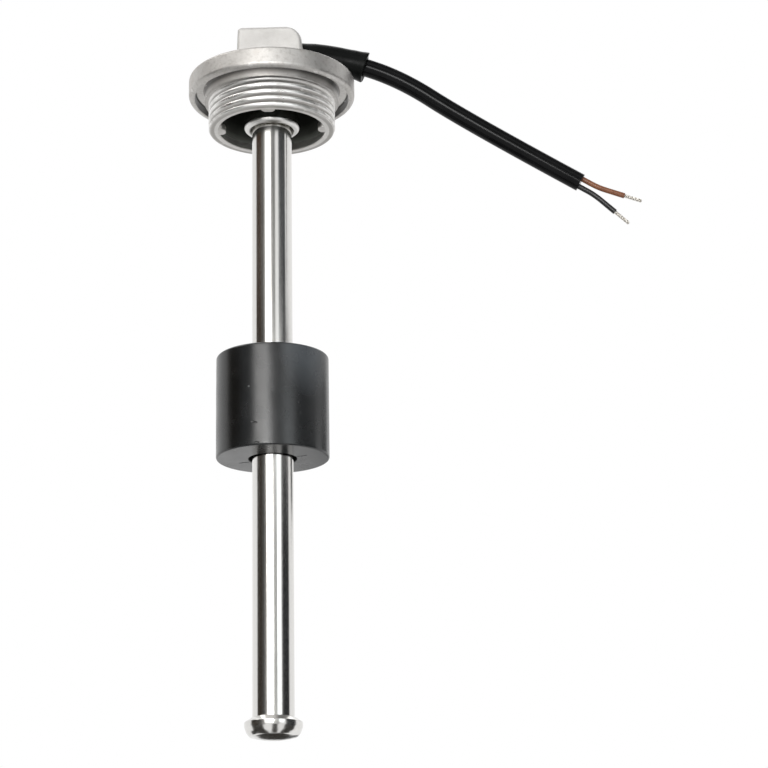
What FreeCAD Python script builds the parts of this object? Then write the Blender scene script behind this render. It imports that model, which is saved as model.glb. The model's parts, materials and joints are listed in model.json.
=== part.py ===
import FreeCAD, Part
import math
import os

import Sketcher

# Tank level sender: a threaded cap carries a closed stem, a float with magnets slides on the stem,
# and a chain of reed switches inside the stem reads its height.
# The frame is in millimetres: the stem's axis is Z, up, and Z = 0 is the flange's seating plane.
# The cable outlet faces +X.

# Driving sizes: millimetres, apart from names that end in _turn (degrees) or _count
SIZES = {
    # cap casting
    "thread_dia": 41.91,
    "skirt_wall": 3.45,
    "skirt_drop": 11.0,
    "skirt_bevel": 0.8,
    "shoulder_step": 1.35,
    "shoulder_drop": 1.2,
    "groove_wide": 3.2,
    "groove_depth": 3.0,
    "lip_wide": 2.0,
    "flange_thick": 7.0,
    "flange_bevel": 0.6,
    "rim_bevel": 0.9,
    "web_thick": 4.0,
    "cavity_bevel": 1.2,
    "lug_count": 4,
    "lug_turn": -4.0,
    "lug_wide": 4.8,
    "lug_waist_wide": 4.3,
    "lug_nose_wide": 2.4,
    "lug_nose_long": 0.9,
    "lug_reach": 2.2,
    "lug_root": 0.8,
    "lug_tall": 2.5,
    "head_width": 22.0,
    "head_tall": 15.0,
    "head_taper": 0.5,
    "head_edge_round": 1.2,
    "head_corner_round": 1.0,
    "head_ramp_round": 5.5,
    "chamber_dia": 9.0,
    "chamber_roof": 2.5,
    "outlet_rise": 9.1,
    "outlet_seat": 4.0,
    # stem, its collar and its end stop
    "fit_gap": 0.05,
    "tube_dia": 13.0,
    "tube_wall": 0.8,
    "tube_inset": 2.5,
    "collar_wall": 2.55,
    "collar_edge": 0.8,
    "stem_length": 212.0,
    "stop_wall": 2.45,
    "stop_nose": 3.6,
    "stop_taper": 1.1,
    "stop_corner": 1.0,
    "stop_band": 1.8,
    "stop_cone": 1.6,
    "stop_floor": 4.5,
    "spigot_tall": 8.0,
    # float and its magnets
    "float_dia": 36.0,
    "float_height": 33.4,
    "float_play": 0.95,
    "float_edge": 0.5,
    "float_rest": 90.0,
    "slit_inset": 0.65,
    "slit_wide": 0.6,
    "slit_long": 3.6,
    "magnet_count": 2,
    "magnet_turn": -23.0,
    "magnet_cover": 3.0,
    "magnet_long": 3.4,
    "magnet_thick": 3.0,
    "magnet_tall": 12.0,
    "magnet_gap": 0.1,
    # reed chain inside the stem
    "liner_gap": 0.2,
    "liner_wall": 0.3,
    "board_play": 0.7,
    "board_thick": 1.6,
    "foot_tall": 5.0,
    "foot_grip": 2.5,
    "plug_tall": 10.0,
    "plug_inset": 1.5,
    "plug_grip": 4.0,
    "reed_count": 8,
    "reed_dia": 2.2,
    "reed_glass": 10.0,
    "reed_reach": 2.0,
    "reed_strip": 0.6,
    "chip_long": 3.2,
    "chip_wide": 1.6,
    "chip_thick": 0.6,
    "chip_margin": 0.5,
    "wire_dia": 1.6,
    "wire_spread": 1.3,
    "wire_slant": 3.0,
    "wire_lap": 4.0,
    # lead, its sleeve and its stripped end
    "lead_dia": 6.0,
    "sleeve_wall": 1.75,
    "sleeve_reach": 14.5,
    "tail_dia": 1.8,
    "tail_offset": 1.45,
    "tail_straight": 6.0,
    "tail_spread": 9.0,
    "tail_turn": 12.0,
    "tip_dia": 1.2,
    "tip_long": 6.0,
}

# Sizes and heights that follow from the driving ones
TUBE_R = "(Sizes.tube_dia / 2)"
TUBE_BORE_R = "(Sizes.tube_dia / 2 - Sizes.tube_wall)"
TUBE_FIT_R = "(Sizes.tube_dia / 2 + Sizes.fit_gap)"
INNER_FIT_R = "(Sizes.tube_dia / 2 - Sizes.tube_wall - Sizes.fit_gap)"
THREAD_R = "(Sizes.thread_dia / 2)"
SKIRT_BORE_R = "(Sizes.thread_dia / 2 - Sizes.skirt_wall)"
SHOULDER_R = "(Sizes.thread_dia / 2 + Sizes.shoulder_step)"
GROOVE_R = f"({SHOULDER_R} + Sizes.groove_wide)"
FLANGE_R = f"({GROOVE_R} + Sizes.lip_wide)"
CEILING_Z = "(Sizes.flange_thick - Sizes.web_thick)"
TUBE_TOP_Z = f"({CEILING_Z} + Sizes.tube_inset)"
HEAD_TOP_Z = "(Sizes.flange_thick + Sizes.head_tall)"
OUTLET_Z = "(Sizes.flange_thick + Sizes.outlet_rise)"
SLEEVE_R = "(Sizes.lead_dia / 2 + Sizes.fit_gap + Sizes.sleeve_wall)"
COLLAR_R = f"({TUBE_FIT_R} + Sizes.collar_wall)"
STOP_R = f"({TUBE_FIT_R} + Sizes.stop_wall)"
TUBE_END_Z = "(Sizes.stop_floor - Sizes.stem_length)"
SPIGOT_TOP_Z = f"({TUBE_END_Z} + Sizes.spigot_tall)"
FLOAT_BORE_R = "(Sizes.tube_dia / 2 + Sizes.float_play)"
FLOAT_R = "(Sizes.float_dia / 2)"
FLOAT_BOTTOM_Z = "(-Sizes.float_rest - Sizes.float_height)"
MAGNET_MID_R = f"({FLOAT_BORE_R} + Sizes.slit_inset + Sizes.slit_long / 2)"
MAGNET_Z = f"({FLOAT_BOTTOM_Z} + Sizes.magnet_cover)"
LINER_R = f"({TUBE_BORE_R} - Sizes.liner_gap)"
LINER_BORE_R = f"({LINER_R} - Sizes.liner_wall)"
BOARD_HALF = f"({LINER_BORE_R} - Sizes.board_play)"
FOOT_TOP_Z = f"({SPIGOT_TOP_Z} + Sizes.foot_tall)"
PLUG_TOP_Z = f"({TUBE_TOP_Z} - Sizes.plug_inset)"
PLUG_BOTTOM_Z = f"({PLUG_TOP_Z} - Sizes.plug_tall)"
BOARD_BOTTOM_Z = f"({FOOT_TOP_Z} - Sizes.foot_grip)"
BOARD_TOP_Z = f"({PLUG_BOTTOM_Z} + Sizes.plug_grip)"
REED_PITCH = f"(({PLUG_BOTTOM_Z} - {FOOT_TOP_Z}) / Sizes.reed_count)"
REED_X = "(-Sizes.board_thick / 2 - Sizes.reed_dia / 2 - Sizes.fit_gap)"
WIRE_X = "(-Sizes.board_thick / 2 - Sizes.wire_dia / 2 - Sizes.fit_gap)"

# The lead's route in the plane Y = 0, as (out, up) from the middle of the outlet's mouth
LEAD_ROUTE = [(-7.8, 0.0), (6.3, 0.0), (30.1, -6.5), (54.5, -23.7), (91.0, -45.25)]
# An arc takes this share of the shorter run beside it
ARC_SHARE = 0.45
# Two places this close together are the same edge
NEAR = 0.01
# How far a cut starts outside the solid
CUT_CLEAR = 1.0
VOLUME_TOLERANCE = 0.01
Z_AXIS = FreeCAD.Vector(0, 0, 1)

doc = FreeCAD.newDocument("tank_level_sender")
sheet = doc.addObject("Spreadsheet::Sheet", "Sizes")
for row, (alias, number) in enumerate(SIZES.items(), start=1):
    sheet.set(f"A{row}", alias)
    sheet.set(f"B{row}", str(number))
    sheet.setAlias(f"B{row}", alias)
doc.recompute()


def value(expression):
    return float(sheet.evalExpression(expression))


def bind(thing, **expressions):
    """Ties an object's properties to expressions of the sheet."""
    for name, expression in expressions.items():
        thing.setExpression(name, expression)


def place(thing, x="0", y="0", z="0"):
    bind(thing, **{"Placement.Base.x": x, "Placement.Base.y": y, "Placement.Base.z": z})


def origin_feature(body, role):
    return next(f for f in body.Origin.OriginFeatures if f.Role == role)


def new_sketch(body, name, plane, lift="0", turn="0"):
    """A sketch on one of the body's own planes, lifted along its normal and turned about it."""
    sketch = body.newObject("Sketcher::SketchObject", name)
    sketch.AttachmentSupport = [(origin_feature(body, plane), "")]
    sketch.MapMode = "FlatFace"
    bind(sketch, **{
        "AttachmentOffset.Base.z": lift,
        "AttachmentOffset.Rotation.Angle": f"({turn}) * 1 deg",
    })
    return sketch


def hold_point(sketch, geometry, position, across, up):
    """Ties one point of a sketch to expressions measured from the sketch's origin."""
    for kind, expression, axis in (("DistanceX", across, -2), ("DistanceY", up, -1)):
        distance = value(expression)
        if expression == "0":
            sketch.addConstraint(Sketcher.Constraint("PointOnObject", geometry, position, axis))
        elif distance > 0:
            index = sketch.addConstraint(
                Sketcher.Constraint(kind, -1, 1, geometry, position, distance)
            )
            sketch.setExpression(f"Constraints[{index}]", expression)
        else:
            index = sketch.addConstraint(
                Sketcher.Constraint(kind, geometry, position, -1, 1, -distance)
            )
            sketch.setExpression(f"Constraints[{index}]", f"-({expression})")


def draw_outline(sketch, points):
    """A closed outline of straight lines through (across, up) expressions."""
    corners = [FreeCAD.Vector(value(across), value(up), 0) for across, up in points]
    count = len(corners)
    for i in range(count):
        sketch.addGeometry(Part.LineSegment(corners[i], corners[(i + 1) % count]))
    for i in range(count):
        sketch.addConstraint(Sketcher.Constraint("Coincident", i, 2, (i + 1) % count, 1))
    for i, (across, up) in enumerate(points):
        hold_point(sketch, i, 1, across, up)


def draw_circle(sketch, radius, up="0"):
    centre = FreeCAD.Vector(0, value(up), 0)
    sketch.addGeometry(Part.Circle(centre, Z_AXIS, value(radius)))
    hold_point(sketch, 0, 3, "0", up)
    index = sketch.addConstraint(Sketcher.Constraint("Radius", 0, value(radius)))
    sketch.setExpression(f"Constraints[{index}]", radius)


def revolve(body, name, points):
    """A turned solid: the outline, as (radius, height), goes round the Z axis."""
    sketch = new_sketch(body, f"{name}_outline", "XZ_Plane")
    draw_outline(sketch, points)
    feature = body.newObject("PartDesign::Revolution", name)
    feature.Profile = sketch
    feature.ReferenceAxis = (sketch, ["V_Axis"])
    feature.Angle = 360
    return feature


def cut(body, name, sketch, depth, upwards=False):
    """A pocket that has to take material away."""
    doc.recompute()
    before = body.Shape.Volume
    feature = body.newObject("PartDesign::Pocket", name)
    feature.Profile = sketch
    feature.Reversed = upwards
    bind(feature, Length=depth)
    doc.recompute()
    if body.Shape.Volume >= before:
        raise RuntimeError(f"{name} cuts nothing")
    return feature


def repeat_round(body, name, original, count):
    pattern = body.newObject("PartDesign::PolarPattern", name)
    pattern.Originals = [original]
    pattern.Axis = (origin_feature(body, "Z_Axis"), [""])
    pattern.Angle = 360
    bind(pattern, Occurrences=count)
    body.Tip = pattern
    doc.recompute()
    return pattern


def round_edges(body, name, radius, chosen):
    """A fillet on the edges of the body that the test picks."""
    doc.recompute()
    base = body.Tip
    edges = [f"Edge{i}" for i, e in enumerate(base.Shape.Edges, start=1) if chosen(e)]
    if not edges:
        raise RuntimeError(f"{name} finds no edge")
    feature = body.newObject("PartDesign::Fillet", name)
    feature.Base = (base, edges)
    bind(feature, Radius=radius)
    doc.recompute()
    return feature


def cylinder(name, radius, height, x="0", y="0", z="0"):
    made = doc.addObject("Part::Cylinder", name)
    bind(made, Radius=radius, Height=height)
    place(made, x, y, z)
    return made


def block(name, length, width, height, x="0", y="0", z="0"):
    made = doc.addObject("Part::Box", name)
    bind(made, Length=length, Width=width, Height=height)
    place(made, x, y, z)
    return made


def subtract(label, base, tool):
    made = doc.addObject("Part::Cut", label)
    made.Base = base
    made.Tool = tool
    return made


def join(label, pieces):
    made = doc.addObject("Part::MultiFuse", label)
    made.Shapes = pieces
    return made


def group(label, pieces):
    """Separate solids of one kind in one node."""
    made = doc.addObject("Part::Compound", label)
    made.Links = pieces
    return made


def make_cap():
    body = doc.addObject("PartDesign::Body", "cap")
    revolve(body, "cap_casting", [
        ("0", "Sizes.flange_thick"),
        (f"{FLANGE_R} - Sizes.flange_bevel", "Sizes.flange_thick"),
        (FLANGE_R, "Sizes.flange_thick - Sizes.flange_bevel"),
        (FLANGE_R, "Sizes.rim_bevel"),
        (f"{FLANGE_R} - Sizes.rim_bevel", "0"),
        (GROOVE_R, "0"),
        (GROOVE_R, "Sizes.groove_depth"),
        (SHOULDER_R, "Sizes.groove_depth"),
        (SHOULDER_R, "-Sizes.shoulder_drop"),
        (THREAD_R, "-Sizes.shoulder_drop"),
        (THREAD_R, "Sizes.skirt_bevel - Sizes.skirt_drop"),
        (f"{THREAD_R} - Sizes.skirt_bevel", "-Sizes.skirt_drop"),
        (SKIRT_BORE_R, "-Sizes.skirt_drop"),
        (SKIRT_BORE_R, f"{CEILING_Z} - Sizes.cavity_bevel"),
        (f"{SKIRT_BORE_R} - Sizes.cavity_bevel", CEILING_Z),
        (TUBE_FIT_R, CEILING_Z),
        (TUBE_FIT_R, TUBE_TOP_Z),
        ("0", TUBE_TOP_Z),
    ])
    add_lugs(body)
    add_head(body)
    return body


def add_lugs(body):
    """Small lugs inside the skirt's mouth."""
    sketch = new_sketch(body, "lug_outline", "XY_Plane", "-Sizes.skirt_drop", "Sizes.lug_turn")
    root = f"{SKIRT_BORE_R} + Sizes.lug_root"
    nose = f"{SKIRT_BORE_R} - Sizes.lug_reach"
    waist = f"{nose} + Sizes.lug_nose_long"
    draw_outline(sketch, [
        (root, "-Sizes.lug_wide / 2"),
        (root, "Sizes.lug_wide / 2"),
        (waist, "Sizes.lug_waist_wide / 2"),
        (nose, "Sizes.lug_nose_wide / 2"),
        (nose, "-Sizes.lug_nose_wide / 2"),
        (waist, "-Sizes.lug_waist_wide / 2"),
    ])
    lug = body.newObject("PartDesign::Pad", "lug")
    lug.Profile = sketch
    bind(lug, Length="Sizes.lug_tall")
    doc.recompute()
    repeat_round(body, "lugs", lug, "Sizes.lug_count")


def add_head(body):
    """The square head, rounded down towards the cable outlet, and the wire chamber inside it."""
    half = "(Sizes.head_width / 2)"
    top_half = f"({half} - Sizes.head_taper)"
    sketch = new_sketch(body, "head_outline", "XZ_Plane")
    draw_outline(sketch, [
        (f"-{half}", "Sizes.flange_thick"),
        (half, "Sizes.flange_thick"),
        (top_half, HEAD_TOP_Z),
        (f"-{top_half}", HEAD_TOP_Z),
    ])
    head = body.newObject("PartDesign::Pad", "head")
    head.Profile = sketch
    head.SideType = "Symmetric"
    bind(head, Length="Sizes.head_width")

    def top_edge(side):
        def chosen(edge):
            ends = [v.Point for v in edge.Vertexes]
            return all(
                abs(p.x - side * value(top_half)) < NEAR and abs(p.z - value(HEAD_TOP_Z)) < NEAR
                for p in ends
            )
        return chosen

    def face_edge(edge):
        ends = [v.Point for v in edge.Vertexes]
        on_face = all(abs(abs(p.y) - value(half)) < NEAR for p in ends)
        return on_face and edge.CenterOfMass.z > value("Sizes.flange_thick") + NEAR

    round_edges(body, "head_ramp", "Sizes.head_ramp_round", top_edge(1))
    round_edges(body, "head_corner", "Sizes.head_corner_round", top_edge(-1))
    round_edges(body, "head_edges", "Sizes.head_edge_round", face_edge)

    chamber = new_sketch(body, "chamber_outline", "XY_Plane", TUBE_TOP_Z)
    draw_circle(chamber, "Sizes.chamber_dia / 2")
    cut(body, "chamber", chamber, f"{HEAD_TOP_Z} - Sizes.chamber_roof - {TUBE_TOP_Z}", upwards=True)

    start = f"{half} + {CUT_CLEAR}"
    seat = new_sketch(body, "outlet_seat_outline", "YZ_Plane", start)
    draw_circle(seat, f"{SLEEVE_R} + Sizes.fit_gap", OUTLET_Z)
    cut(body, "outlet_seat", seat, f"Sizes.outlet_seat + {CUT_CLEAR}")
    bore = new_sketch(body, "outlet_bore_outline", "YZ_Plane", start)
    draw_circle(bore, "Sizes.lead_dia / 2 + Sizes.fit_gap", OUTLET_Z)
    cut(body, "outlet_bore", bore, start)


def make_stem_collar():
    body = doc.addObject("PartDesign::Body", "stem_collar")
    revolve(body, "collar_turning", [
        (TUBE_FIT_R, CEILING_Z),
        (COLLAR_R, CEILING_Z),
        (COLLAR_R, "Sizes.collar_edge - Sizes.skirt_drop"),
        (f"{COLLAR_R} - Sizes.collar_edge", "-Sizes.skirt_drop"),
        (TUBE_FIT_R, "-Sizes.skirt_drop"),
    ])
    return body


def make_stem_tube():
    length = f"{TUBE_TOP_Z} - {TUBE_END_Z}"
    outer = cylinder("stem_outer", TUBE_R, length, z=TUBE_END_Z)
    inner = cylinder("stem_bore", TUBE_BORE_R, length, z=TUBE_END_Z)
    return subtract("stem_tube", outer, inner)


def make_end_stop():
    body = doc.addObject("PartDesign::Body", "end_stop")
    nose_r = f"{STOP_R} - Sizes.stop_taper"
    band_z = "Sizes.stop_nose + Sizes.stop_band - Sizes.stem_length"
    revolve(body, "stop_turning", [
        ("0", "-Sizes.stem_length"),
        (f"{nose_r} - Sizes.stop_corner", "-Sizes.stem_length"),
        (nose_r, "Sizes.stop_corner - Sizes.stem_length"),
        (STOP_R, "Sizes.stop_nose - Sizes.stem_length"),
        (STOP_R, band_z),
        (TUBE_FIT_R, f"{band_z} + Sizes.stop_cone"),
        (TUBE_FIT_R, TUBE_END_Z),
        (INNER_FIT_R, TUBE_END_Z),
        (INNER_FIT_R, SPIGOT_TOP_Z),
        ("0", SPIGOT_TOP_Z),
    ])
    return body


def make_float():
    body = doc.addObject("PartDesign::Body", "float")
    top = "-Sizes.float_rest"
    revolve(body, "float_moulding", [
        (FLOAT_BORE_R, FLOAT_BOTTOM_Z),
        (f"{FLOAT_R} - Sizes.float_edge", FLOAT_BOTTOM_Z),
        (FLOAT_R, f"{FLOAT_BOTTOM_Z} + Sizes.float_edge"),
        (FLOAT_R, f"{top} - Sizes.float_edge"),
        (f"{FLOAT_R} - Sizes.float_edge", top),
        (FLOAT_BORE_R, top),
    ])
    slit = new_sketch(body, "slit_outline", "XY_Plane", FLOAT_BOTTOM_Z, "Sizes.magnet_turn")
    draw_radial_bar(slit, "Sizes.slit_long", "Sizes.slit_wide")
    cut_slit = cut(body, "slit", slit, "Sizes.magnet_cover", upwards=True)
    repeat_round(body, "slits", cut_slit, "Sizes.magnet_count")
    pocket = new_sketch(body, "magnet_pocket_outline", "XY_Plane", MAGNET_Z, "Sizes.magnet_turn")
    room = "2 * Sizes.magnet_gap"
    draw_radial_bar(pocket, f"Sizes.magnet_long + {room}", f"Sizes.magnet_thick + {room}")
    cut_pocket = cut(body, "magnet_pocket", pocket, f"Sizes.magnet_tall + {room}", upwards=True)
    repeat_round(body, "magnet_pockets", cut_pocket, "Sizes.magnet_count")
    return body


def draw_radial_bar(sketch, length, width):
    """A bar's outline at the slits' place beside the float's bore."""
    inner = f"{MAGNET_MID_R} - ({length}) / 2"
    outer = f"{MAGNET_MID_R} + ({length}) / 2"
    draw_outline(sketch, [
        (inner, f"-({width}) / 2"),
        (outer, f"-({width}) / 2"),
        (outer, f"({width}) / 2"),
        (inner, f"({width}) / 2"),
    ])


def make_float_magnets():
    """Bar magnets standing in the float's pockets."""
    magnets = []
    for i in range(int(value("Sizes.magnet_count"))):
        body = doc.addObject("PartDesign::Body", f"magnet_{i + 1}")
        turn = f"Sizes.magnet_turn + {i} * 360 / Sizes.magnet_count"
        lift = f"{MAGNET_Z} + Sizes.magnet_gap"
        outline = new_sketch(body, f"magnet_{i + 1}_outline", "XY_Plane", lift, turn)
        draw_radial_bar(outline, "Sizes.magnet_long", "Sizes.magnet_thick")
        pad = body.newObject("PartDesign::Pad", f"magnet_{i + 1}_bar")
        pad.Profile = outline
        bind(pad, Length="Sizes.magnet_tall")
        magnets.append(body)
    return group("float_magnets", magnets)


def make_circuit_board():
    return block(
        "circuit_board", "Sizes.board_thick", f"2 * {BOARD_HALF}",
        f"{BOARD_TOP_Z} - {BOARD_BOTTOM_Z}",
        "-Sizes.board_thick / 2", f"-{BOARD_HALF}", BOARD_BOTTOM_Z,
    )


def make_board_liner():
    length = f"{PLUG_BOTTOM_Z} - {FOOT_TOP_Z}"
    outer = cylinder("liner_outer", LINER_R, length, z=FOOT_TOP_Z)
    inner = cylinder("liner_bore", LINER_BORE_R, length, z=FOOT_TOP_Z)
    return subtract("board_liner", outer, inner)


def board_slot(name, height, z):
    """The space that a board end takes in the piece that grips it."""
    thick = "(Sizes.board_thick + 2 * Sizes.fit_gap)"
    wide = f"(2 * {BOARD_HALF} + 2 * Sizes.fit_gap)"
    return block(name, thick, wide, height, f"-{thick} / 2", f"-{wide} / 2", z)


def make_board_foot():
    disc = cylinder("foot_disc", INNER_FIT_R, "Sizes.foot_tall", z=SPIGOT_TOP_Z)
    slot = board_slot("foot_slot", "Sizes.foot_grip", BOARD_BOTTOM_Z)
    return subtract("board_foot", disc, slot)


def make_potting_plug():
    plug = cylinder("plug_disc", INNER_FIT_R, "Sizes.plug_tall", z=PLUG_BOTTOM_Z)
    slot = board_slot("plug_slot", "Sizes.plug_grip", PLUG_BOTTOM_Z)
    ways = [
        cylinder(f"plug_way_{side}", "Sizes.wire_dia / 2 + Sizes.fit_gap", "Sizes.plug_tall",
                 WIRE_X, f"{sign} * Sizes.wire_spread", PLUG_BOTTOM_Z)
        for side, sign in (("front", -1), ("back", 1))
    ]
    return subtract("potting_plug", plug, join("plug_ways", [slot] + ways))


def make_reed(i):
    """One glass reed switch along the board, with flat strips that come down to the board."""
    name = f"reed_{i + 1}"
    middle = f"({PLUG_BOTTOM_Z} - {REED_PITCH} * ({i} + 0.5))"
    strip = "Sizes.reed_strip"
    reach = "(Sizes.reed_glass / 2 + Sizes.reed_reach)"
    glass = cylinder(f"{name}_glass", "Sizes.reed_dia / 2", "Sizes.reed_glass",
                     x=REED_X, z=f"{middle} - Sizes.reed_glass / 2")
    blades = block(f"{name}_blades", strip, strip, f"2 * {reach}",
                   f"{REED_X} - {strip} / 2", f"-{strip} / 2", f"{middle} - {reach}")
    feet = [
        block(f"{name}_{end}_foot", f"-Sizes.board_thick / 2 - {REED_X}", strip, strip,
              REED_X, f"-{strip} / 2", base)
        for end, base in (
            ("upper", f"{middle} + {reach} - {strip}"),
            ("lower", f"{middle} - {reach}"),
        )
    ]
    return join(name, [glass, blades] + feet)


def make_reed_switches():
    count = int(value("Sizes.reed_count"))
    return group("reed_switches", [make_reed(i) for i in range(count)])


def make_ladder_resistors():
    """One chip beside each reed switch."""
    chips = [
        block(f"chip_{i + 1}", "Sizes.chip_thick", "Sizes.chip_wide", "Sizes.chip_long",
              "-Sizes.board_thick / 2 - Sizes.chip_thick",
              f"{BOARD_HALF} - Sizes.chip_margin - Sizes.chip_wide",
              f"{PLUG_BOTTOM_Z} - {REED_PITCH} * ({i} + 0.5) - Sizes.chip_long / 2")
        for i in range(int(value("Sizes.reed_count")))
    ]
    return group("ladder_resistors", chips)


def run_directions(points):
    return [(b - a).normalize() for a, b in zip(points, points[1:])]


def arc_radii(points):
    """As large an arc at each inner point as the runs beside it allow."""
    ways = run_directions(points)
    runs = [(b - a).Length for a, b in zip(points, points[1:])]
    return [
        ARC_SHARE * min(runs[i], runs[i + 1]) / math.tan(ways[i].getAngle(ways[i + 1]) / 2)
        for i in range(len(points) - 2)
    ]


def rounded_path(points, radii):
    """Straight runs joined by tangent arcs."""
    ways = run_directions(points)
    edges = []
    start = points[0]
    for i, radius in enumerate(radii):
        corner, way_in, way_out = points[i + 1], ways[i], ways[i + 1]
        half = way_in.getAngle(way_out) / 2
        reach = radius * math.tan(half)
        first = corner - way_in * reach
        last = corner + way_out * reach
        inward = (way_out - way_in).normalize()
        middle = corner + inward * (radius / math.cos(half) - radius)
        edges.append(Part.LineSegment(start, first).toShape())
        edges.append(Part.Arc(first, middle, last).toShape())
        start = last
    edges.append(Part.LineSegment(start, points[-1]).toShape())
    return Part.Wire(edges)


def swept_tube(label, points, radii, radius):
    """A round solid along the path, with its volume held against section times length."""
    path = doc.addObject("Part::Feature", f"{label}_path")
    path.Shape = rounded_path(points, radii) if radii else Part.makePolygon(points)
    section = doc.addObject("Part::Circle", f"{label}_section")
    section.Placement = FreeCAD.Placement(
        points[0], FreeCAD.Rotation(Z_AXIS, points[1] - points[0])
    )
    bind(section, Radius=radius)
    made = doc.addObject("Part::Sweep", label)
    made.Sections = [section]
    made.Spine = (path, [f"Edge{i}" for i in range(1, len(path.Shape.Edges) + 1)])
    made.Transition = "Right corner"
    made.Solid = True
    doc.recompute()
    expected = math.pi * value(radius) ** 2 * path.Shape.Length
    if abs(made.Shape.Volume - expected) > VOLUME_TOLERANCE * expected:
        raise RuntimeError(f"{label} has volume {made.Shape.Volume:.1f}, not {expected:.1f}")
    print(label, "length", round(path.Shape.Length, 1), "radii", [round(r, 1) for r in radii])
    return made


def lead_points():
    mouth = FreeCAD.Vector(value("Sizes.head_width / 2"), 0, value(OUTLET_Z))
    return [mouth + FreeCAD.Vector(out, 0, up) for out, up in LEAD_ROUTE]


def make_lead():
    points = lead_points()
    return swept_tube("lead", points, arc_radii(points), "Sizes.lead_dia / 2")


def make_lead_sleeve():
    """The shrink sleeve follows the lead from its seat in the outlet past the first bend."""
    route = lead_points()
    bend = route[1]
    way = run_directions(route)[1]
    seat = FreeCAD.Vector(value("Sizes.head_width / 2 - Sizes.outlet_seat"), 0, bend.z)
    points = [seat, bend, bend + way * value("Sizes.sleeve_reach")]
    radii = arc_radii(route)[:1]
    outer = swept_tube("sleeve_outer", points, radii, SLEEVE_R)
    inner = swept_tube("sleeve_bore", points, radii, "Sizes.lead_dia / 2 + Sizes.fit_gap")
    return subtract("lead_sleeve", outer, inner)


def make_board_wire(label, sign):
    """An insulated core from the lead's inner end, down through the plug, onto the board."""
    start = lead_points()[0]
    y = sign * value("Sizes.wire_spread")
    x = value(WIRE_X)
    slant = value("Sizes.wire_slant")
    points = [
        FreeCAD.Vector(start.x, y, start.z),
        FreeCAD.Vector(x + slant, y, start.z),
        FreeCAD.Vector(x, y, start.z - slant),
        FreeCAD.Vector(x, y, value(f"{PLUG_BOTTOM_Z} - Sizes.wire_lap")),
    ]
    return swept_tube(label, points, [], "Sizes.wire_dia / 2")


def make_tail(label, tip_label, sign):
    """One core where the lead's jacket ends, and its tinned tip."""
    route = lead_points()
    way = run_directions(route)[-1]
    side = FreeCAD.Vector(-way.z, 0, way.x) * sign
    turn = math.radians(value("Sizes.tail_turn"))
    spread_way = way * math.cos(turn) + side * math.sin(turn)
    start = route[-1] + side * value("Sizes.tail_offset")
    bend = start + way * value("Sizes.tail_straight")
    end = bend + spread_way * value("Sizes.tail_spread")
    points = [start, bend, end]
    tail = swept_tube(label, points, arc_radii(points), "Sizes.tail_dia / 2")
    tip = doc.addObject("Part::Cylinder", tip_label)
    bind(tip, Radius="Sizes.tip_dia / 2", Height="Sizes.tip_long")
    tip.Placement = FreeCAD.Placement(end, FreeCAD.Rotation(Z_AXIS, spread_way))
    return [tail, tip]


SUB_PARTS = [
    make_cap(),
    make_stem_collar(),
    make_stem_tube(),
    make_end_stop(),
    make_float(),
    make_float_magnets(),
    make_circuit_board(),
    make_board_liner(),
    make_board_foot(),
    make_potting_plug(),
    make_reed_switches(),
    make_ladder_resistors(),
    make_lead(),
    make_lead_sleeve(),
    make_board_wire("signal_wire", -1),
    make_board_wire("ground_wire", 1),
    *make_tail("signal_tail", "signal_tip", 1),
    *make_tail("ground_tail", "ground_tip", -1),
]

doc.recompute()
for thing in doc.Objects:
    if {"Invalid", "Error"} & set(thing.State):
        raise RuntimeError(f"{thing.Label} failed: {thing.State}")
for part in SUB_PARTS:
    if part.Shape.isNull() or not part.Shape.isValid():
        raise RuntimeError(f"{part.Label} has no valid shape")

os.makedirs("parts", exist_ok=True)
for part in SUB_PARTS:
    part.Shape.exportStep(f"parts/{part.Label}.step")
    print(part.Label, "solids", len(part.Shape.Solids), "volume", round(part.Shape.Volume, 1))
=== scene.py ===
"""Dresses the tank level sender: cast threaded cap, polished stem, rubber float and sleeved lead."""

import cmath
import json
import math

import bmesh
import bpy
from mathutils import Matrix, Vector, noise


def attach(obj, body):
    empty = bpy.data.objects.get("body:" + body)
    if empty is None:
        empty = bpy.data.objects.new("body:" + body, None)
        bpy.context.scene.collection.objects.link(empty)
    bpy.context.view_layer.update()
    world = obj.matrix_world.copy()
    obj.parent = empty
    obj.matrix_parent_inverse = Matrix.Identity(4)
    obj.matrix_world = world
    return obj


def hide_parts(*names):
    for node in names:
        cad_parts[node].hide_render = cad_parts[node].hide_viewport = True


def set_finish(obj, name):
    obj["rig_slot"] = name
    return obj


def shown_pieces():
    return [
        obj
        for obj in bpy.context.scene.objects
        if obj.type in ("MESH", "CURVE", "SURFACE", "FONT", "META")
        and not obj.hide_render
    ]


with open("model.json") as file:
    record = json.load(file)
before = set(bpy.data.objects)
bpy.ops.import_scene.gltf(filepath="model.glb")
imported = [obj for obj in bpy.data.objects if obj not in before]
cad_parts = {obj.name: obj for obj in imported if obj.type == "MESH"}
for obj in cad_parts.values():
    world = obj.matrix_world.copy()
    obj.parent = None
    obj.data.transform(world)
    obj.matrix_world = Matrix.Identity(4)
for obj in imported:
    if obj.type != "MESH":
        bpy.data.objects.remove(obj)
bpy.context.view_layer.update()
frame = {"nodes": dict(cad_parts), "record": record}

# Shapes are worked out in millimetres in the row frame, and shown in metres
MM = 0.001
ROUND_STEP = math.radians(12)
SHARP_ANGLE = math.radians(42)

FLANGE_R = 27.505
FLANGE_TOP = 7.0
GROOVE_R = 25.505
GROOVE_TOP = 3.0
SHOULDER_R = 22.305
SHOULDER_END = -1.2
THREAD_R = 20.955
THREAD_PITCH = 2.309
THREAD_DEPTH = 1.35
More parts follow.
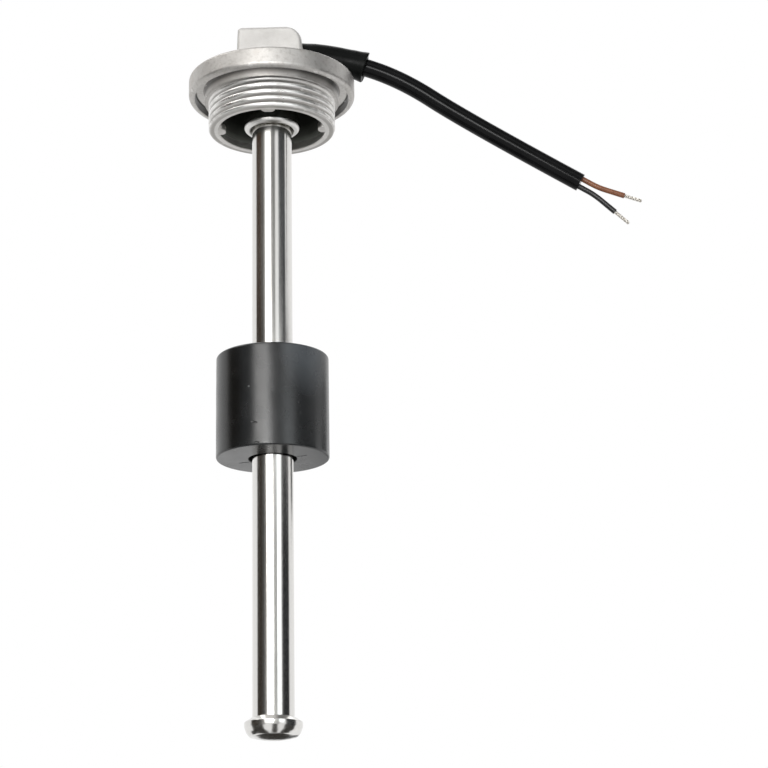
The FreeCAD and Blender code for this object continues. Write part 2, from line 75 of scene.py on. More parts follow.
# The height of one of the thread's crests at the front
CREST_Z = -3.31
SKIRT_END = -11.0
SKIRT_BORE_R = 17.505
CEILING = 3.0
SEAM_TURN = math.radians(-87.8)
SEAM_WIDTH = 0.42
# How far the head and the lugs stand turned about the stem
CAP_TURN = math.radians(-4)
HEAD_HALF = 11.0
HEAD_TOP = 22.0
OUTLET_Z = 16.1
TUBE_R = 6.5
TUBE_TOP = 5.5
# The bore of what fits round the stem
FIT_R = TUBE_R + 0.05
COLLAR_R = 9.1
STOP_R = 9.0
STEM_END = -212.0
FLOAT_R = 18.0
FLOAT_BORE_R = 7.45
FLOAT_TOP = -90.0
FLOAT_BOTTOM = -123.4
LEAD_R = 3.0
SLEEVE_R = 4.8
SLEEVE_SEAT_X = 7.0
# The skins of the cap's cavity and of the float's bore are pieces of their own
SKIN = 0.4
CAVITY_SKIN_Z = -8.5
BORE_SKIN = 0.3

# The two cores at the lead's end: beside its middle, straight on, then bent apart
CORE_OFFSET = 1.45
CORE_STRAIGHT = 6.0
CORE_BENT = 9.0
CORE_BEND = math.radians(12)

# The lead's route, in metres
LEAD_ROUTE = [
    (0.0032, 0.0, 0.0161),
    (0.0173, 0.0, 0.0161),
    (0.0411, 0.0, 0.0096),
    (0.0655, 0.0, -0.0076),
    (0.1020, 0.0, -0.02915),
]

# Heights on the stage, in metres: the floor, the cards underneath, and what the lamps point at
FLOOR_Z = -0.6
UNDER_Z = -0.28
SIGHT_Z = -0.05
# How far the upright cards stand from the stem, in metres
CARD_DISTANCE = 1.0


# Camera

def add_camera():
    """The photograph's place and angle: from below the flange, looking up at the sender."""
    yaw = math.radians(2.93932)
    pitch = math.radians(16.99702)
    roll = math.radians(-1.05406)
    ahead = Vector((
        math.sin(yaw) * math.cos(pitch),
        math.cos(yaw) * math.cos(pitch),
        math.sin(pitch),
    ))
    level = Vector((math.cos(yaw), -math.sin(yaw), 0))
    over = level.cross(ahead)
    right = level * math.cos(roll) + over * math.sin(roll)
    up = over * math.cos(roll) - level * math.sin(roll)
    lens = bpy.data.cameras.new("photo_camera")
    lens.sensor_width = 36
    lens.lens = 103.125
    camera = bpy.data.objects.new("photo_camera", lens)
    place = Matrix((right, up, -ahead)).transposed().to_4x4()
    place.translation = (0.00108, -0.67318, -0.30467)
    camera.matrix_world = place
    bpy.context.scene.collection.objects.link(camera)
    bpy.context.scene.camera = camera


# Mesh tools

def rounded(corners):
    """An outline with its corners rounded; a corner is (x, y, radius)."""
    points = []
    for i, (x, y, radius) in enumerate(corners):
        if not radius:
            points.append((x, y))
            continue
        here = complex(x, y)
        back = complex(*corners[i - 1][:2]) - here
        ahead = complex(*corners[i + 1][:2]) - here
        back /= abs(back)
        ahead /= abs(ahead)
        half = abs(cmath.phase(ahead / back)) / 2
        centre = here + (back + ahead) / abs(back + ahead) * radius / math.sin(half)
        start = here + back * radius / math.tan(half) - centre
        end = here + ahead * radius / math.tan(half) - centre
        turn = cmath.phase(end / start)
        steps = max(2, math.ceil(abs(turn) / ROUND_STEP))
        for k in range(steps + 1):
            point = centre + start * cmath.exp(1j * turn * k / steps)
            points.append((point.real, point.imag))
    return points


def loft(sections, capped=True):
    """A skin over rings of points, closed round each ring."""
    bm = bmesh.new()
    rings = [[bm.verts.new(point) for point in section] for section in sections]
    for first, second in zip(rings, rings[1:]):
        for i in range(len(first)):
            j = (i + 1) % len(first)
            bm.faces.new((first[i], first[j], second[j], second[i]))
    if capped:
        bm.faces.new(rings[0])
        bm.faces.new(rings[-1])
    return bm


def prism(outline, low, high):
    """An outline raised from one height to another."""
    return loft([[(x, y, z) for x, y in outline] for z in (low, high)])


def lathe(outline, columns, shift=None):
    """A turned form about Z; shift(radius, height, angle) moves its points in or out."""
    sections = []
    for radius, height in outline:
        section = []
        for i in range(columns):
            angle = 2 * math.pi * i / columns
            r = radius + (shift(radius, height, angle) if shift else 0)
            section.append((r * math.cos(angle), r * math.sin(angle), height))
        sections.append(section)
    bm = loft(sections, capped=False)
    bmesh.ops.remove_doubles(bm, verts=bm.verts, dist=1e-4)
    return bm


def to_mesh(bm, name):
    bmesh.ops.recalc_face_normals(bm, faces=bm.faces)
    mesh = bpy.data.meshes.new(name)
    bm.to_mesh(mesh)
    bm.free()
    return mesh


def cut_away(bm, tool):
    """What is left of one form when another is cut out of it."""
    base = bpy.data.objects.new("cut_base", to_mesh(bm, "cut_base"))
    knife = bpy.data.objects.new("cut_knife", to_mesh(tool, "cut_knife"))
    for helper in (base, knife):
        bpy.context.scene.collection.objects.link(helper)
    cut = base.modifiers.new("cut", "BOOLEAN")
    cut.object = knife
    cut.operation = "DIFFERENCE"
    cut.solver = "EXACT"
    left = bmesh.new()
    left.from_object(base, bpy.context.evaluated_depsgraph_get())
    for helper in (base, knife):
        bpy.data.meshes.remove(helper.data)
    return left


def merge(bm, other):
    """Adds one form's faces to another."""
    spare = to_mesh(other, "spare")
    bm.from_mesh(spare)
    bpy.data.meshes.remove(spare)


def place_piece(piece, node, body, slot):
    """Puts a piece in the scene, in the place of a CAD node."""
    bpy.context.scene.collection.objects.link(piece)
    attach(piece, body)
    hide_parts(node)
    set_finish(piece, slot)
    return piece


def add_piece(name, bm, node, body, slot):
    """Makes a form, drawn in millimetres, the piece that stands for a CAD node."""
    bm.transform(Matrix.Scale(MM, 4))
    mesh = to_mesh(bm, name)
    mesh.shade_smooth()
    mesh.set_sharp_from_angle(angle=SHARP_ANGLE)
    piece = bpy.data.objects.new(name, mesh)
    even = piece.modifiers.new("even_normals", "WEIGHTED_NORMAL")
    even.keep_sharp = True
    return place_piece(piece, node, body, slot)


def smooth_step(low, high, x):
    t = min(max((x - low) / (high - low), 0), 1)
    return t * t * (3 - 2 * t)


# Lead

def add_lead():
    curve = bpy.data.curves.new("lead_cable", "CURVE")
    curve.dimensions = "3D"
    spline = curve.splines.new("NURBS")
    spline.points.add(len(LEAD_ROUTE) - 1)
    for point, place in zip(spline.points, LEAD_ROUTE):
        point.co = (*place, 1)
        point.radius = LEAD_R * MM
    spline.order_u = 3
    spline.use_endpoint_u = True
    spline.resolution_u = 48
    spline.use_smooth = True
    curve.bevel_depth = 1.0
    curve.bevel_resolution = 12
    curve.use_fill_caps = True
    lead = bpy.data.objects.new("lead_cable", curve)
    return place_piece(lead, "lead", "sender", "lead_jacket")


def spline_points(lead):
    """The points down the middle of the lead, in millimetres, read from its own spline."""
    bare = lead.data.copy()
    bare.bevel_depth = 0
    holder = bpy.data.objects.new("bare_route", bare)
    mesh = bpy.data.meshes.new_from_object(holder)
    points = [v.co / MM for v in mesh.vertices]
    bpy.data.meshes.remove(mesh)
    bpy.data.curves.remove(bare)
    return points


def sleeve_ring(centre, way, radius, ragged):
    """A ring of points round the lead; a ragged one wanders along it."""
    around = 56
    side = Vector((0, 1, 0))
    over = way.cross(side) * -1
    points = []
    for k in range(around):
        a = 2 * math.pi * k / around
        waves = 0.16 * math.sin(2 * a + 0.8) + 0.10 * math.sin(5 * a) + 0.05 * math.sin(11 * a)
        out = side * math.cos(a) + over * math.sin(a)
        points.append(centre + out * radius + way * (ragged * waves))
    return points


def add_sleeve(line):
    """Shrink sleeve: it follows the lead out of the head, and its cut end is a little flared."""
    length = 24.7
    flare = 0.32
    bore = LEAD_R + 0.03
    start = next(i for i, p in enumerate(line) if p.x >= SLEEVE_SEAT_X)
    stations = []
    travelled = 0.0
    for i in range(start, len(line) - 1):
        way = (line[i + 1] - line[i - 1]).normalized()
        stations.append((line[i], way, travelled))
        travelled += (line[i + 1] - line[i]).length
        if travelled > length:
            break
    end = stations[-1][2]
    sections = []
    for centre, way, along in stations:
        radius = SLEEVE_R - 0.14 + flare * smooth_step(end - 2.6, end, along)
        # It swells past its seat, unevenly, and is a little drawn in half way
        swell = 0.16 + 0.07 * noise.noise(Vector((along * 0.35, 3.1, 0.7)))
        swell -= 0.10 * smooth_step(12, 17, along) * (1 - smooth_step(17, 22, along))
        swell -= 0.16 * (1 - smooth_step(3, 8, along))
        sections.append(sleeve_ring(centre, way, radius + swell, smooth_step(end - 3, end, along)))
    centre, way, _ = stations[-1]
    rim = SLEEVE_R + 0.02 + flare
    cut_end = ((0.10, rim - 0.06, 1), (0.14, rim - 0.22, 1), (0.04, bore + 0.45, 0.6), (-0.35, bore, 0.3))
    for step, radius, ragged in cut_end:
        sections.append(sleeve_ring(centre + way * step, way, radius, ragged))
    inside, inside_way, _ = stations[-6]
    sections.append(sleeve_ring(inside, inside_way, bore, 0))
    return add_piece("shrink_sleeve", loft(sections), "lead_sleeve", "sender", "sleeve_polymer")


def add_strands(name, node, sign):
    """The tinned strands of a stripped core, six of them laid in a twist round one."""
    length = 6.0
    shorter_by = (0.0, 0.25, 0.05, 0.4, 0.12, 0.3, 0.02)
    strand_r = 0.2
    lay_r = 0.4
    lays = 1.6
    steps = 30
    sides = 10
    end = Vector(LEAD_ROUTE[-1])
    way = (end - Vector(LEAD_ROUTE[-2])).normalized()
    side = Vector((-way.z, 0, way.x)) * sign
    bent = way * math.cos(CORE_BEND) + side * math.sin(CORE_BEND)
    foot = end / MM + side * CORE_OFFSET + way * CORE_STRAIGHT + bent * CORE_BENT
    out_a = Vector((0, 1, 0))
    out_b = bent.cross(out_a)

    def outwards(angle):
        return out_a * math.cos(angle) + out_b * math.sin(angle)

    bm = bmesh.new()
    for strand, short in enumerate(shorter_by):
        arm = lay_r if strand else 0.0
        sections = []
        for k in range(steps + 1):
            t = k / steps
            angle = math.pi / 3 * strand + 2 * math.pi * lays * t
            middle = foot + bent * ((length - short) * t) + outwards(angle) * arm
            radius = strand_r * (1 - 0.5 * smooth_step(0.97, 1.0, t))
            sections.append([middle + outwards(2 * math.pi * j / sides) * radius for j in range(sides)])
        merge(bm, loft(sections))
    return add_piece(name, bm, node, "sender", "tinned_copper")


# Turned and cast pieces

def thread_shift(radius, height, angle):
    """How far the pipe thread's groove and the casting seam move a point of the skirt."""
    on_thread = abs(radius - THREAD_R) < 0.95
    if not (on_thread and SKIRT_END + 0.1 < height < SHOULDER_END - 0.05):
        return 0.0
    apart = (angle - SEAM_TURN + math.pi) % math.pi
    apart = min(apart, math.pi - apart) * radius
    seam = math.exp(-(apart / SEAM_WIDTH) ** 2)
    fade = smooth_step(SHOULDER_END - 0.1, SHOULDER_END - 0.9, height)
    fade *= smooth_step(SKIRT_END + 0.1, SKIRT_END + 0.7, height)
    turn = (height - CREST_Z) / THREAD_PITCH - (angle + math.pi / 2) / (2 * math.pi)
    groove = (0.5 - 0.5 * math.cos(2 * math.pi * turn)) ** 2.6
    return -THREAD_DEPTH * fade * groove * (1 - 0.2 * seam) - 0.05 * seam * fade


def head_form():
    """The square head: tapered, rounded down towards the outlet, with a cast fillet at its foot."""
    foot = 0.9
    taper = 0.5
    side_round = 1.2
    corner_round = 1.0
    ramp_round = 5.5
    edge_round = 1.2
    seat_r = SLEEVE_R + 0.1
    seat_end = 13.0

    def inset(round_r, z):
        rise = max(z - (HEAD_TOP - round_r), 0)
        return round_r - math.sqrt(max(round_r ** 2 - rise ** 2, 0))

    levels = [(FLANGE_TOP + foot * (1 - math.cos(a)), foot * (1 - math.sin(a)))
              for a in (math.radians(15 * k) for k in range(7))]
    heights = [HEAD_TOP - ramp_round + ramp_round * math.sin(math.radians(6 * k)) for k in range(16)]
    heights += [HEAD_TOP - side_round + side_round * math.sin(math.radians(18 * k)) for k in range(5)]
    levels += [(z, 0.0) for z in sorted(heights)]
    sections = []
    for z, flare in levels:
        lean = taper * (z - FLANGE_TOP) / (HEAD_TOP - FLANGE_TOP)
        right = HEAD_HALF - lean + flare - inset(ramp_round, z)
        left = HEAD_HALF - lean + flare - inset(corner_round, z)
        wide = HEAD_HALF + flare - inset(side_round, z)
        r = edge_round + flare
        section = []
        for cx, cy, turn in ((right - r, wide - r, 0), (r - left, wide - r, 90),
                             (r - left, r - wide, 180), (right - r, r - wide, 270)):
            for k in range(7):
                a = math.radians(turn + 15 * k)
                section.append((cx + r * math.cos(a), cy + r * math.sin(a), z))
        sections.append(section)
    seat = lathe([(0, SLEEVE_SEAT_X), (seat_r, SLEEVE_SEAT_X), (seat_r, seat_end), (0, seat_end)], 64)
    seat.transform(Matrix.Translation((0, 0, OUTLET_Z)) @ Matrix.Rotation(math.pi / 2, 4, "Y"))
    head = loft(sections)
    head.transform(Matrix.Rotation(CAP_TURN, 4, "Z"))
    return cut_away(head, seat)


def lug_form(turn):
    """One lug inside the skirt's mouth, with its edges rounded."""
    root = SKIRT_BORE_R + 0.8
    nose = SKIRT_BORE_R - 2.2
    shoulder = nose + 0.9
    outline = [(root, -2.4), (root, 2.4), (shoulder, 2.15), (nose, 1.2), (nose, -1.2), (shoulder, -2.15)]
    bm = prism(outline, SKIRT_END + 0.08, SKIRT_END + 2.5)
    bmesh.ops.bevel(bm, geom=bm.edges, offset=0.42, segments=4, profile=0.5, affect="EDGES")
    bm.transform(Matrix.Rotation(CAP_TURN + math.radians(turn), 4, "Z"))
    return bm


def add_cap():
    """The casting: flange, groove, threaded skirt, head and four lugs."""
    thread_top = SHOULDER_END - 0.55
    thread_low = SKIRT_END + 0.95
    rows = 80
    corners = [
        (0, FLANGE_TOP, 0),
        (FLANGE_R, FLANGE_TOP, 1.0),
        (FLANGE_R, 0, 1.5),
        (GROOVE_R, 0, 0.3),
        (GROOVE_R, GROOVE_TOP, 0.4),
        (SHOULDER_R, GROOVE_TOP, 0.4),
        (SHOULDER_R, SHOULDER_END, 0.35),
        (THREAD_R, SHOULDER_END, 0.3),
    ]
    corners += [(THREAD_R, thread_top + (thread_low - thread_top) * k / rows, 0) for k in range(rows + 1)]
    corners += [
        (THREAD_R, SKIRT_END, 0.85),
        (SKIRT_BORE_R, SKIRT_END, 0.45),
        (SKIRT_BORE_R, CAVITY_SKIN_Z, 0),
        (SKIRT_BORE_R + SKIN, CAVITY_SKIN_Z, 0),
        (SKIRT_BORE_R + SKIN, CEILING + SKIN, 0),
        (FIT_R, CEILING + SKIN, 0),
        (FIT_R, TUBE_TOP, 0),
        (0, TUBE_TOP, 0),
    ]
    bm = lathe(rounded(corners), 320, thread_shift)
    merge(bm, head_form())
    for k in range(4):
        merge(bm, lug_form(90 * k))
    cap = add_piece("cap_casting", bm, "cap", "sender", "cast_steel")
    # Reflections leave it out, which keeps the stem's stripes clean
    cap.visible_glossy = False


def add_cavity_skin():
    """The dark skin inside the cap, from above the lugs to the stem; its darkness is partly the raw
    casting and partly painted shade.
    """
    outline = rounded([
        (FIT_R, CEILING, 0),
        (SKIRT_BORE_R, CEILING, 1.6),
        (SKIRT_BORE_R, CAVITY_SKIN_Z, 0),
        (SKIRT_BORE_R + SKIN, CAVITY_SKIN_Z, 0),
        (SKIRT_BORE_R + SKIN, CEILING + SKIN, 0),
        (FIT_R, CEILING + SKIN, 0),
        (FIT_R, CEILING, 0),
    ])
    add_piece("cap_cavity_skin", lathe(outline, 160), "cap", "sender", "cast_steel")


def add_collar():
    """The ring round the stem, inside the skirt, with its lower edge rounded."""
    outline = rounded([
        (FIT_R, CEILING, 0),
        (COLLAR_R, CEILING, 0),
        (COLLAR_R, SKIRT_END, 1.2),
        (FIT_R + 0.75, SKIRT_END, 0.15),
        (FIT_R, SKIRT_END + 1.1, 0.1),
        (FIT_R, CEILING, 0),
    ])
    add_piece("collar_ring", lathe(outline, 160), "stem_collar", "sender", "polished_steel")


def add_end_stop():
    """Turned plug with a coned shoulder, a short band and a rounded nose with a crowned end."""
    band_top = STEM_END + 5.4
    crown_r = 26.0
    crown_steps = (math.radians(2 * k) for k in range(8))
    crown = [(crown_r * math.sin(a), STEM_END + crown_r * (1 - math.cos(a)), 0) for a in crown_steps]
    outline = rounded([
        *crown,
        (STOP_R - 1.55, STEM_END + 1.06, 0.9),
        (STOP_R - 0.65, STEM_END + 2.2, 2.2),
        (STOP_R, STEM_END + 3.9, 2.2),
        (STOP_R, band_top, 0.25),
        (FIT_R, band_top + 1.6, 0.12),
        (FIT_R, band_top + 0.4, 0),
        (0, band_top + 0.4, 0),
    ])
    add_piece("stop_plug", lathe(outline, 160), "end_stop", "sender", "polished_steel")


def float_shift(radius, height, angle):
    """Slight unevenness of the moulded rubber."""
    if radius < FLOAT_R - 1.0:
        return 0.0
    around = Vector((math.cos(angle) * 1.6, math.sin(angle) * 1.6, height * 0.07))
    return 0.05 * noise.noise(around) - 0.02


def add_float():
    """The float, with room for the skin of its bore, and with two slits in its underside."""
    side_rows = 14
    side_low = FLOAT_BOTTOM + 1.5
    side_height = FLOAT_TOP - FLOAT_BOTTOM - 3.0
    side = [(FLOAT_R, side_low + side_height * k / side_rows, 0) for k in range(side_rows + 1)]
    bore = FLOAT_BORE_R + BORE_SKIN
    outline = rounded([
        (bore, FLOAT_TOP - 2.0, 0),
        (bore, FLOAT_BOTTOM, 0.2),
        (FLOAT_R, FLOAT_BOTTOM, 0.6),
        *side,
        (FLOAT_R, FLOAT_TOP, 0.7),
        (bore, FLOAT_TOP, 0.2),
        (bore, FLOAT_TOP - 2.0, 0),
    ])
    bm = lathe(outline, 192, float_shift)
    slit = [(8.1, -0.3), (11.7, -0.3), (11.7, 0.3), (8.1, 0.3)]
    for turn in (-23, 157):
        tool = prism(slit, FLOAT_BOTTOM - 1, FLOAT_BOTTOM + 3)
        tool.transform(Matrix.Rotation(math.radians(turn), 4, "Z"))
        bm = cut_away(bm, tool)
    moulding = add_piece("float_moulding", bm, "float", "float", "float_rubber")
    # Reflections leave it out, which keeps the stem's stripes clean
    moulding.visible_glossy = False


def add_bore_skin():
    """The dull skin of the float's bore."""
    low = FLOAT_BOTTOM + 0.25
    high = FLOAT_TOP - 0.25
    outline = rounded([
        (FLOAT_BORE_R + BORE_SKIN, low, 0),
        (FLOAT_BORE_R + BORE_SKIN, high, 0),
        (FLOAT_BORE_R, high, 0.1),
        (FLOAT_BORE_R, low, 0.1),
        (FLOAT_BORE_R + BORE_SKIN, low, 0),
    ])
    add_piece("float_bore_skin", lathe(outline, 128), "float", "float", "float_rubber")


# Materials

def add_node(tree, kind, inputs=None, **settings):
    """A shader node; an input is given as a socket to link or as a plain value."""
    node = tree.nodes.new(kind)
    for name, setting in settings.items():
        setattr(node, name, setting)
    for name, given in (inputs or {}).items():
        if isinstance(given, bpy.types.NodeSocket):
            tree.links.new(given, node.inputs[name])
        else:
            node.inputs[name].default_value = given
    return node


def add_noise(tree, coords, scale, detail):
    inputs = {"Vector": coords, "Scale": scale, "Detail": detail}
    return add_node(tree, "ShaderNodeTexNoise", inputs).outputs["Fac"]


def add_ramp(tree, factor, stops):
    """Two colours blended between two levels of a factor."""
    ramp = add_node(tree, "ShaderNodeValToRGB", {"Fac": factor})
    for element, (position, colour) in zip(ramp.color_ramp.elements, stops):
        element.position = position
        element.color = (*colour, 1)
    return ramp.outputs["Color"]


def add_range(tree, factor, low, high, to_low=0.0, to_high=1.0):
    inputs = {"Value": factor, "From Min": low, "From Max": high, "To Min": to_low, "To Max": to_high}
    return add_node(tree, "ShaderNodeMapRange", inputs).outputs["Result"]


def add_math(tree, operation, first, second):
    return add_node(tree, "ShaderNodeMath", {0: first, 1: second}, operation=operation).outputs[0]


def add_length(tree, vector):
    return add_node(tree, "ShaderNodeVectorMath", {0: vector}, operation="LENGTH").outputs["Value"]


class Surface:
    """A material with uneven colour, roughness and fine relief, all from noise in object space."""

    def __init__(self, name, dark, pale, rough, bumps, tint_scale, rough_scale=300,
                 tint_levels=(0.3, 0.7), stretch=(1, 1, 1), **sockets):
        self.material = bpy.data.materials.new(name)
        self.material.use_nodes = True
        self.tree = self.material.node_tree
        self.shader = self.tree.nodes["Principled BSDF"]
        self.place = add_node(self.tree, "ShaderNodeTexCoord").outputs["Object"]
        spread = add_node(self.tree, "ShaderNodeMapping", {"Vector": self.place, "Scale": stretch})
        self.coords = spread.outputs["Vector"]
        tints = add_noise(self.tree, self.coords, tint_scale, 4)
        self.colour = add_ramp(self.tree, tints, zip(tint_levels, (dark, pale)))
        self.rough = self.patches(rough_scale, 3, 0.3, 0.7, *rough)
        self.normal = None
        for scale, depth in bumps:
            self.add_bump(add_noise(self.tree, self.coords, scale, 4), depth)
        for socket, setting in sockets.items():
            self.shader.inputs[socket.replace("_", " ")].default_value = setting

    def add_bump(self, height, depth):
        """Relief of a depth in millimetres, on top of what is there."""
        inputs = {"Height": height, "Strength": 1.0, "Distance": depth * MM}
        if self.normal:
            inputs["Normal"] = self.normal
        self.normal = add_node(self.tree, "ShaderNodeBump", inputs).outputs["Normal"]

    def add_tint(self, colour, *factors):
        """Mixes a colour in, by the product of its factors."""
        inputs = {0: self.times(*factors), 6: self.colour, 7: (*colour, 1)}
        self.colour = add_node(self.tree, "ShaderNodeMix", inputs, data_type="RGBA").outputs[2]

    def smooth_by(self, factor):
        """Takes a factor off the roughness."""
        self.rough = add_math(self.tree, "SUBTRACT", self.rough, factor)

    def times(self, first, *others):
        """The product of some factors."""
        for other in others:
            first = add_math(self.tree, "MULTIPLY", first, other)
        return first

    def patches(self, scale, detail, low, high, to_low=0.0, to_high=1.0):
        """Patches of noise: to_low up to one level of it, changing to to_high at another."""
        grain = add_noise(self.tree, self.coords, scale, detail)
        return add_range(self.tree, grain, low, high, to_low, to_high)

    def past(self, measure, start, full, to_low=0.0, to_high=1.0):
        """to_low before one place on a measure, in millimetres, changing to to_high at another."""
        return add_range(self.tree, measure, start * MM, full * MM, to_low, to_high)

    def between(self, measure, start, full, fade, end):
        """1 between two places on a measure, in millimetres, falling to 0 outside them."""
        return self.times(self.past(measure, start, full), self.past(measure, end, fade))

    def spot(self, centre, radii, turn=(0, 0, 0)):
        """1 at a place on the surface, in millimetres, falling to 0 at its radii."""
        mapping = add_node(self.tree, "ShaderNodeMapping", {
            "Vector": self.place,
            "Location": [c * MM for c in centre],
            "Rotation": turn,
            "Scale": [r * MM for r in radii],
        }, vector_type="TEXTURE")
        return add_range(self.tree, add_length(self.tree, mapping.outputs["Vector"]), 1.0, 0.4)

    def round_stem(self):
        """How far a place is from the stem's axis, and how high, in metres."""
        axes = add_node(self.tree, "ShaderNodeSeparateXYZ", {0: self.place})
        flat = add_node(self.tree, "ShaderNodeCombineXYZ", {0: axes.outputs[0], 1: axes.outputs[1]})
        return add_length(self.tree, flat.outputs[0]), axes.outputs[2]

    def finish(self):
        links = self.tree.links
        links.new(self.colour, self.shader.inputs["Base Color"])
        links.new(self.rough, self.shader.inputs["Roughness"])
        links.new(self.normal, self.shader.inputs["Normal"])
        return self.material


def cast_steel():
    """Bead-blasted casting: fine grain, pits, handling marks, worn crests and edges; painted shade in the
    groove, the mouth and concave corners, and a painted highlight on the thread's front.
    """
    surface = Surface(
        "cast_steel_finish", (0.49, 0.475, 0.455), (0.57, 0.555, 0.535), (0.42, 0.54),
        [(420, 0.07), (2200, 0.040), (6500, 0.010)], 70, rough_scale=220, Metallic=1.0,
    )
    pits = surface.patches(2600, 2, 0.66, 0.74)
    surface.add_tint((0.20, 0.18, 0.16), pits, 0.45)
    marks = surface.patches(150, 5, 0.58, 0.72)
    surface.add_tint((0.36, 0.31, 0.27), marks, 0.35)
    mottle = surface.patches(800, 4, 0.50, 0.68)
    surface.add_tint((0.30, 0.28, 0.26), mottle, 0.35)
    radius, height = surface.round_stem()

    # The skirt's mouth: the wall below the cavity's skin, darkened partly as raw cast skin and partly as
    # painted shade, and the rim
    wall = surface.between(
        radius, SKIRT_BORE_R - 0.2, SKIRT_BORE_R - 0.1, SKIRT_BORE_R + 0.05, SKIRT_BORE_R + 0.15)
    above = surface.between(
        height, SKIRT_END + 0.15, SKIRT_END + 0.45, CAVITY_SKIN_Z + 0.1, CAVITY_SKIN_Z + 0.2)
    surface.add_tint((0.36, 0.365, 0.34), wall, above)
    off_bore = surface.past(radius, SKIRT_BORE_R + 0.1, SKIRT_BORE_R + 0.4)
    low = surface.past(height, SKIRT_END + 0.35, SKIRT_END + 0.1)
    surface.add_tint((0.80, 0.79, 0.77), off_bore, low, 0.45)

    # The thread: darker overall and in its roots, worn on its crests, with a painted highlight on its
    # crests at the front
    outside = surface.past(radius, SKIRT_BORE_R + 1.4, SKIRT_BORE_R + 1.7)
    threaded = surface.times(outside, surface.past(height, SHOULDER_END - 0.1, SHOULDER_END - 0.4))
    surface.add_tint((0.34, 0.33, 0.315), threaded, 0.5)
    root = surface.past(radius, THREAD_R - 0.55, THREAD_R - 1.15)
    surface.add_tint((0.20, 0.18, 0.16), root, threaded, 0.3)
    crest = surface.times(surface.past(radius, THREAD_R - 0.60, THREAD_R - 0.15), threaded)
    surface.add_tint((0.86, 0.85, 0.83), crest, surface.patches(260, 3, 0.35, 0.62, 0.25, 0.9))
    # Painted highlight: paler crests at the front
    front_highlight = surface.spot((0.0, -21.0, -6.5), (17.0, 9.0, 14.0))
    surface.add_tint((0.90, 0.89, 0.87), front_highlight, crest)
    surface.smooth_by(surface.times(crest, 0.16))

    # The head: paler and duller than the flange
    head = surface.past(height, FLANGE_TOP + 0.1, FLANGE_TOP + 0.6)
    surface.add_tint((0.595, 0.585, 0.57), head, 0.8)
    surface.smooth_by(surface.times(head, -0.20))

    # The groove's painted shade: on its inner wall, in its depth, and on its outer wall, inside the lip
    inner = surface.between(radius, SHOULDER_R - 0.5, SHOULDER_R - 0.3, SHOULDER_R + 0.3, SHOULDER_R + 0.5)
    shade = surface.past(height, -0.2, 1.0, 0.35, 0.95)
    under_roof = surface.past(height, GROOVE_TOP + 0.2, GROOVE_TOP + 0.1)
    surface.add_tint((0.20, 0.188, 0.176), inner, shade, under_roof)
    across = surface.between(radius, SHOULDER_R - 0.4, SHOULDER_R - 0.2, GROOVE_R + 0.05, GROOVE_R + 0.25)
    deep = surface.between(height, 0.8, 1.5, GROOVE_TOP - 0.3, GROOVE_TOP - 0.05)
    surface.add_tint((0.10, 0.095, 0.09), across, deep)
    outer = surface.between(radius, GROOVE_R - 0.7, GROOVE_R - 0.3, GROOVE_R + 0.05, GROOVE_R + 0.25)
    surface.add_tint((0.050, 0.047, 0.044), outer, surface.past(height, 0.1, 0.5), under_roof)

    # Convex edges paler, as wear; concave corners darker, as painted shade
    edge = add_node(surface.tree, "ShaderNodeNewGeometry").outputs["Pointiness"]
    surface.add_tint((0.78, 0.77, 0.75), add_range(surface.tree, edge, 0.52, 0.58), 0.5)
    surface.add_tint((0.22, 0.20, 0.18), add_range(surface.tree, edge, 0.48, 0.43), 0.55)
    return surface.finish()


def polished_steel():
    """Drawn and polished tube: almost a mirror, with faint lines along it."""
    surface = Surface(
        "polished_steel_finish", (0.70, 0.69, 0.67), (0.76, 0.75, 0.73), (0.14, 0.20),
        [(900, 0.0012)], 240, rough_scale=900, stretch=(1, 1, 0.03), Metallic=1.0,
    )
    return surface.finish()


def turned_steel(name, rough):
    """Turned and buffed steel, with fine rings round the stem's axis."""
    surface = Surface(
        name, (0.69, 0.68, 0.66), (0.76, 0.75, 0.73), rough, [], 240, rough_scale=500, Metallic=1.0,
    )
    radius, height = surface.round_stem()
    rings = add_node(surface.tree, "ShaderNodeCombineXYZ", {0: radius, 2: height})
    surface.add_bump(add_noise(surface.tree, rings.outputs[0], 4500, 2), 0.0006)
    return surface


def collar_steel():
    """The collar: its side is polished, its face is satin and darker round the stem, and a painted
    reflection of the stem darkens the front of its face.
    """
    surface = turned_steel("collar_finish", (0.36, 0.44))
    radius, height = surface.round_stem()
    surface.smooth_by(surface.past(height, SKIRT_END + 1.1, SKIRT_END + 1.6, 0.0, 0.32))
    # Darker in patches round the stem
    darker_round_stem = surface.past(radius, TUBE_R + 1.15, TUBE_R + 0.65)
    surface.add_tint((0.060, 0.058, 0.040), darker_round_stem, surface.patches(700, 3, 0.35, 0.6, 0.55, 1.0))
    # Painted reflection of the stem: a dark patch on the front of the face
    stem_reflection = surface.spot((0.4, -7.7, SKIRT_END), (3.0, 1.4, 1.5))
    surface.add_tint((0.11, 0.105, 0.09), stem_reflection, 0.85)
    return surface.finish()


